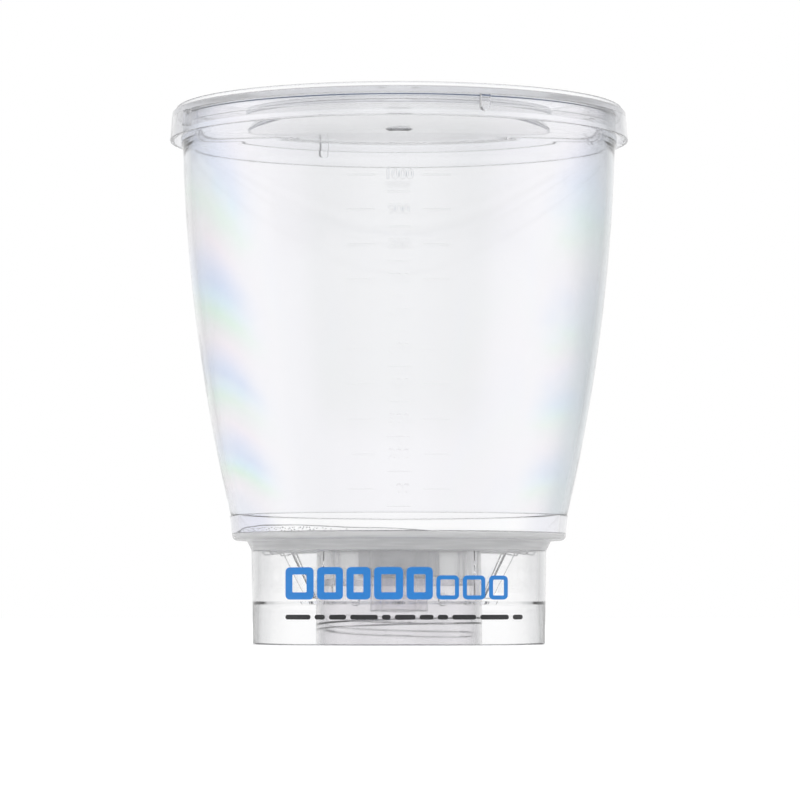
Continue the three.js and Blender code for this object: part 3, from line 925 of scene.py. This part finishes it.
def port_bore():
    start, end, radius = CHAMBER_RADIUS - 1.5, PORT_END + 1, BARB_BORE_RADIUS + GAP
    return on_port(turned("bore", [
        (0, start), (radius, start), (radius, SOCKET_FLOOR),
        (SOCKET_RADIUS, SOCKET_FLOOR), (SOCKET_RADIUS, end), (0, end),
    ], FINE_SEGMENTS))


def make_base():
    base = turned("base_moulding", base_outline())
    boolean(base, [*gussets(), *neck_pads(), thread(), port_socket()], "UNION")
    boolean(base, [port_bore(), *drain_channels(), weld_void(), weld_bubbles()], "DIFFERENCE")
    nodes = ("support_plate", "skirt", "bottle_neck", "drip_spout")
    finished(base, "unit", BASE_CLEAR, "clear_styrene", *nodes)


# ---------------------------------------------------------------- print


def skirt_point(x, z, stand):
    """A point on the skirt's front from its place across and its height, standing proud by stand."""
    slope = (SKIRT_TOP_RADIUS - SKIRT_FOOT_RADIUS) / (CEILING - 0.6)
    r = SKIRT_FOOT_RADIUS + slope * z
    return on_circle(r + stand, math.asin(x / r) - math.pi / 2, z)


def ink_plate(name):
    """A closed thin plate over the skirt's front."""
    left, right, foot, top = PRINT_BOX
    stands = (PRINT_LIFT, PRINT_LIFT + PRINT_THICKNESS)
    n = PRINT_STEPS + 1
    places = [left + (right - left) * i / PRINT_STEPS for i in range(n)]
    vertices = [skirt_point(x, z, stand) for stand in stands for z in (foot, top) for x in places]
    faces = []
    for i in range(PRINT_STEPS):
        faces.append([i, i + 1, n + i + 1, n + i])
        faces.append([2 * n + i, 3 * n + i, 3 * n + i + 1, 2 * n + i + 1])
        faces.append([i, 2 * n + i, 2 * n + i + 1, i + 1])
        faces.append([n + i, n + i + 1, 3 * n + i + 1, 3 * n + i])
    faces.append([0, n, 3 * n, 2 * n])
    faces.append([n - 1, 3 * n - 1, 4 * n - 1, 2 * n - 1])
    return facing_out(mesh_object(name, vertices, faces))


def rounded_outline(curve, x0, x1, z0, z1, radius):
    """Adds a rounded rectangle to a flat curve."""
    corners = (
        (x1 - radius, z1 - radius, 0), (x0 + radius, z1 - radius, 90),
        (x0 + radius, z0 + radius, 180), (x1 - radius, z0 + radius, 270),
    )
    points = []
    for cx, cz, start in corners:
        for k in range(CORNER_STEPS + 1):
            a = math.radians(start + 90 * k / CORNER_STEPS)
            points.append((cx + radius * math.cos(a), cz + radius * math.sin(a)))
    spline = curve.splines.new("POLY")
    spline.points.add(len(points) - 1)
    for place, (x, z) in zip(spline.points, points):
        place.co = (x * MM, z * MM, 0, 1)
    spline.use_cyclic_u = True


def printed(name, frames, material, slot):
    """Ink on the skirt's front, from (x0, x1, z0, z1, stroke) frames; a stroke of 0 is a filled shape."""
    curve = bpy.data.curves.new(name, "CURVE")
    curve.dimensions = "2D"
    curve.fill_mode = "BOTH"
    curve.extrude = STAMP_DEPTH * MM
    for x0, x1, z0, z1, stroke in frames:
        radius = min(PRINT_CORNER, (z1 - z0) * 0.45)
        rounded_outline(curve, x0, x1, z0, z1, radius)
        if stroke:
            inner = max(PRINT_INNER_CORNER, radius - stroke)
            rounded_outline(curve, x0 + stroke, x1 - stroke, z0 + stroke, z1 - stroke, inner)
    stamp = raised(curve)
    upright = Matrix.Rotation(math.pi / 2, 4, "X")
    stamp.data.transform(Matrix.Translation((0, STAMP_PLACE * MM, 0)) @ upright)
    ink = ink_plate(name)
    boolean(ink, [stamp], "INTERSECT")
    ink.name = name
    dressed(ink, "unit", material, slot)


def print_row(x, widths, gap, foot, top, stroke):
    """Frames side by side from x on, and the place for the next."""
    frames = []
    for width in widths:
        frames.append((x, x + width, foot, top, stroke))
        x += width + gap
    return frames, x


def make_print():
    """Generic print on the skirt's front: bold and light open blue frames over a broken black rule."""
    bold, x = print_row(PRINT_LEFT, BOLD_FRAMES, *BOLD_ROW)
    light, _ = print_row(x, LIGHT_FRAMES, *LIGHT_ROW)
    rules, _ = print_row(PRINT_LEFT, RULES, *RULE_ROW)
    printed("blue_frames", bold + light, PRINT_BLUE, "print_blue")
    printed("black_rule", rules, PRINT_BLACK, "print_black")


# ---------------------------------------------------------------- membrane, gasket and port fittings


def make_membrane():
    low = SEAL_LAND + SEAT_GAP
    top = low + MEMBRANE_THICKNESS
    film = turned("membrane_film", [(0, low), (MEMBRANE_RADIUS, low), (MEMBRANE_RADIUS, top), (0, top)])
    finished(film, "unit", MEMBRANE_WHITE, "membrane_white", "membrane")


def make_gasket():
    top = SEAT_HEIGHT - SEAT_GAP
    low = top - GASKET_THICKNESS
    inner, outer = GASKET_INNER_RADIUS, THREAD_ROOT_RADIUS - GAP
    corners = [(inner, low, 0.15), (outer, low, 0.15), (outer, top, 0.15), (inner, top, 0.15)]
    ring = turned("seal_ring", filleted(corners, 3))
    finished(ring, "unit", GASKET, "gasket_rubber", "neck_gasket")


def make_barb():
    start = SOCKET_FLOOR + GAP + PLUG_LENGTH + GAP
    spigot = SOCKET_RADIUS - GAP
    flange = PORT_END + SEAT_GAP
    flange_end = flange + BARB_FLANGE_WIDTH
    first = flange + BARB_START
    pitch = (BARB_END - first) / BARBS
    teeth = []
    for i in range(BARBS):
        foot = first + i * pitch
        teeth += [(BARB_TUBE_RADIUS, foot), (BARB_CREST_RADIUS, foot + 0.2, 0.08)]
        teeth.append((BARB_TUBE_RADIUS, foot + 0.85 * pitch))
    barb = on_port(turned("hose_nozzle", filleted([
        (BARB_BORE_RADIUS, start), (spigot, start), (spigot, flange),
        (BARB_FLANGE_RADIUS, flange, 0.3), (BARB_FLANGE_RADIUS, flange_end, 0.3),
        (BARB_TUBE_RADIUS, flange_end), *teeth,
        (BARB_TIP_RADIUS, BARB_END), (BARB_BORE_RADIUS, BARB_END),
    ], 3), BARB_SEGMENTS))
    finished(barb, "unit", BASE_CLEAR, "port_plastic", "hose_barb")


# ---------------------------------------------------------------- lid


def lid_skirt(z):
    share = (z - LID_SKIRT_FOOT) / (LID_SHOULDER - LID_SKIRT_FOOT)
    return LID_SKIRT_RADIUS + (LID_SHOULDER_RADIUS - LID_SKIRT_RADIUS) * share


def vent_lugs():
    """Four lugs with round feet, between the funnel's rim and the lid's skirt."""
    inner = RIM_RADIUS + GAP
    outer = lid_skirt(LUG_FOOT) - LID_WALL / 2
    radius, top = LUG_WIDTH / 2, LID_CHANNEL_ROOF + OVERLAP
    angles = [math.pi * k / LUG_STEPS for k in range(LUG_STEPS + 1)]
    foot = [(-radius * math.cos(a), LUG_FOOT + radius - radius * math.sin(a)) for a in angles]
    outline = [(-radius, top), *foot, (radius, top)]
    lugs = []
    for turn in (0, 90, 180, 270):
        lug = web("lug", outline, outer - inner, 0)
        lug.data.transform(Matrix.Translation((0, -(inner + outer) / 2 * MM, 0)))
        lug.data.transform(Matrix.Rotation(math.radians(LUG_AZIMUTH + turn), 4, "Z"))
        lugs.append(lug)
    return lugs


def make_lid():
    plate_top = LID_CHANNEL_ROOF + LID_PLATE_THICKNESS
    plug_inner = LID_PLUG_RADIUS - LID_WALL
    bead_inner = LID_BEAD_RADIUS - LID_BEAD_WIDTH
    lid = turned("lid_moulding", filleted([
        (0, LID_PAD_UNDER - GATE_DROP),
        (GATE_TIP_RADIUS, LID_PAD_UNDER - GATE_DROP, 1.2),
        (GATE_ROOT_RADIUS, LID_PAD_UNDER, 0.3),
        (LID_PAD_RADIUS, LID_PAD_UNDER, 0.1),
        (LID_PAD_RADIUS + 0.1, LID_CHANNEL_ROOF, 0.2),
        (plug_inner, LID_CHANNEL_ROOF, 0.4),
        (plug_inner, LID_PLUG_FOOT, 0.3),
        (LID_PLUG_RADIUS, LID_PLUG_FOOT, 0.3),
        (LID_PLUG_RADIUS, LID_CHANNEL_ROOF),
        (lid_skirt(LID_CHANNEL_ROOF) - LID_WALL, LID_CHANNEL_ROOF),
        (lid_skirt(LID_SKIRT_FOOT) - LID_WALL, LID_SKIRT_FOOT),
        (LID_SKIRT_RADIUS, LID_SKIRT_FOOT, 0.15),
        (LID_SHOULDER_RADIUS, LID_SHOULDER, 0.5),
        (LID_BEAD_RADIUS, LID_SHOULDER),
        (LID_BEAD_RADIUS, LID_TOP, 0.6),
        (bead_inner, LID_TOP, 0.5),
        (bead_inner, plate_top),
        (0, plate_top),
    ]), WIDE_SEGMENTS)
    boolean(lid, vent_lugs(), "UNION")
    finished(lid, "lid", LID_CLEAR, "clear_styrene", "lid")


# ---------------------------------------------------------------- studio

DAYLIGHT = 0.9  # what matt surfaces get from all round
PANEL_LOW = 0.72  # of the walls between the bright panels
ZENITH = 0.45  # of the walls overhead and underneath
FLOOR_LIFT = 0.4
GLASS_LIFT = 0.03  # of the floor, seen through or in the clear pieces
FLOOR_DROP = 0.2  # millimetres
FLOOR_REACH = 5.0  # metres to each side
FLOOR_FADE = (0.6, 2.6)
LAMP_SIZE = 1.2
LAMP_AIM = (0, 0, 0.08)
CAMERA_PLACE = (0.0003, -1.2, 0.0117)
CAMERA_TILT = 2.93  # degrees, upwards
CAMERA_LENS = 180
CAMERA_SENSOR = 36
CAMERA_CLIP = (0.05, 50)
BOUNCES = 32
WHITE = (1, 1, 1, 1)


def light_panels(g, x, y):
    """Brightness of the studio's walls round the object: full at front, back and sides, lower between."""
    # cos(4 phi) = 8 x^4 - 8 x^2 + 1 for a unit direction in plan
    c = g.math("DIVIDE", x, g.math("MAXIMUM", plan_radius(g, x, y), 1e-4))
    c2 = g.times(c, c)
    cos4 = g.add(g.times(c2, g.less(c2, 1.0), 8.0), 1.0)
    return g.span(cos4, -1.0, 1.0, PANEL_LOW, 1.0)


def studio_world():
    """White for the camera, plain daylight for matt surfaces, and panels for the clear pieces."""
    world = bpy.data.worlds.new("studio")
    bpy.context.scene.world = world
    world.use_nodes = True
    g = Graph(world.node_tree)
    x, y, z = g.split(g.node("ShaderNodeTexCoord", out=0))
    seen = g.times(g.span(g.math("ABSOLUTE", z), 0.3, 0.95, 1.0, ZENITH), light_panels(g, x, y))
    path = g.node("ShaderNodeLightPath", out=None).outputs
    lit = g.math("GREATER_THAN", path["Diffuse Depth"], 0.5)
    through = g.math("MAXIMUM", path["Is Glossy Ray"], path["Is Transmission Ray"])
    through = g.times(through, g.less(1.0, lit))
    strength = g.add(DAYLIGHT, g.times(through, g.less(seen, DAYLIGHT)))
    strength = g.math("MAXIMUM", strength, path["Is Camera Ray"])
    shine = g.node("ShaderNodeBackground", Color=WHITE, Strength=strength)
    g.node("ShaderNodeOutputWorld", out=None, Surface=shine)


def floor_paper():
    """White paper with a lift, which turns into the brightness of the studio's walls far off."""
    material, g = new_material("floor_paper")
    place = g.object_place()
    grain = g.noise(place, 60.0, 3.0)
    colour = g.mix(g.span(grain, 0.3, 0.7), (0.8, 0.8, 0.8, 1), (0.82, 0.82, 0.82, 1))
    path = g.node("ShaderNodeLightPath", out=None).outputs
    clear = g.math("LESS_THAN", path["Diffuse Depth"], 0.5)
    lift = g.add(g.times(path["Is Camera Ray"], FLOOR_LIFT - GLASS_LIFT), g.times(clear, GLASS_LIFT))
    paper = g.node("ShaderNodeAddShader", out=None)
    g.put(paper.inputs[0], g.node("ShaderNodeBsdfDiffuse", Color=colour))
    g.put(paper.inputs[1], g.node("ShaderNodeEmission", Color=WHITE, Strength=lift))
    x, y, _ = g.split(place)
    far = g.times(g.span(plan_radius(g, x, y), *FLOOR_FADE), clear)
    horizon = g.math("MAXIMUM", light_panels(g, x, y), path["Is Camera Ray"])
    walls = g.node("ShaderNodeEmission", Color=WHITE, Strength=horizon)
    g.node("ShaderNodeOutputMaterial", out=None, Surface=g.blend(far, paper.outputs[0], walls))
    return material


def studio_floor():
    reach = FLOOR_REACH / MM
    corners = [(-reach, -reach), (reach, -reach), (reach, reach), (-reach, reach)]
    floor = mesh_object("studio_floor", [(x, y, -FLOOR_DROP) for x, y in corners], [[0, 1, 2, 3]])
    floor.data.materials.append(floor_paper())


def softbox(name, position, energy):
    lamp = bpy.data.lights.new(name, "AREA")
    lamp.shape = "RECTANGLE"
    lamp.size = lamp.size_y = LAMP_SIZE
    lamp.energy = energy
    obj = linked(name, lamp)
    obj.location = position
    obj.rotation_euler = (Vector(LAMP_AIM) - Vector(position)).to_track_quat("-Z", "Y").to_euler()
    obj.visible_glossy = False
    obj.visible_transmission = False


def studio_camera():
    data = bpy.data.cameras.new("camera")
    data.lens = CAMERA_LENS
    data.sensor_width = CAMERA_SENSOR
    data.clip_start, data.clip_end = CAMERA_CLIP
    camera = linked("camera", data)
    camera.location = CAMERA_PLACE
    camera.rotation_euler = (math.radians(90 + CAMERA_TILT), 0, 0)
    bpy.context.scene.camera = camera


# ---------------------------------------------------------------- the scene

make_funnel()
make_base()
make_print()
make_membrane()
make_gasket()
make_barb()
make_lid()
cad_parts["port_plug"].data.materials.clear()
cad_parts["port_plug"].data.materials.append(FIBRE)
studio_world()
studio_floor()
softbox("key_softbox", (-1.4, -1.3, 1.5), 14)
softbox("fill_softbox", (1.5, -0.9, 1.2), 8)
studio_camera()

scene = bpy.context.scene
scene.view_settings.view_transform = "Standard"
scene.cycles.max_bounces = BOUNCES
scene.cycles.transmission_bounces = BOUNCES
scene.cycles.glossy_bounces = 8
scene.cycles.blur_glossy = 0.0  # with any blur, daylight doesn't reach through the clear walls
scene.cycles.transparent_max_bounces = 16
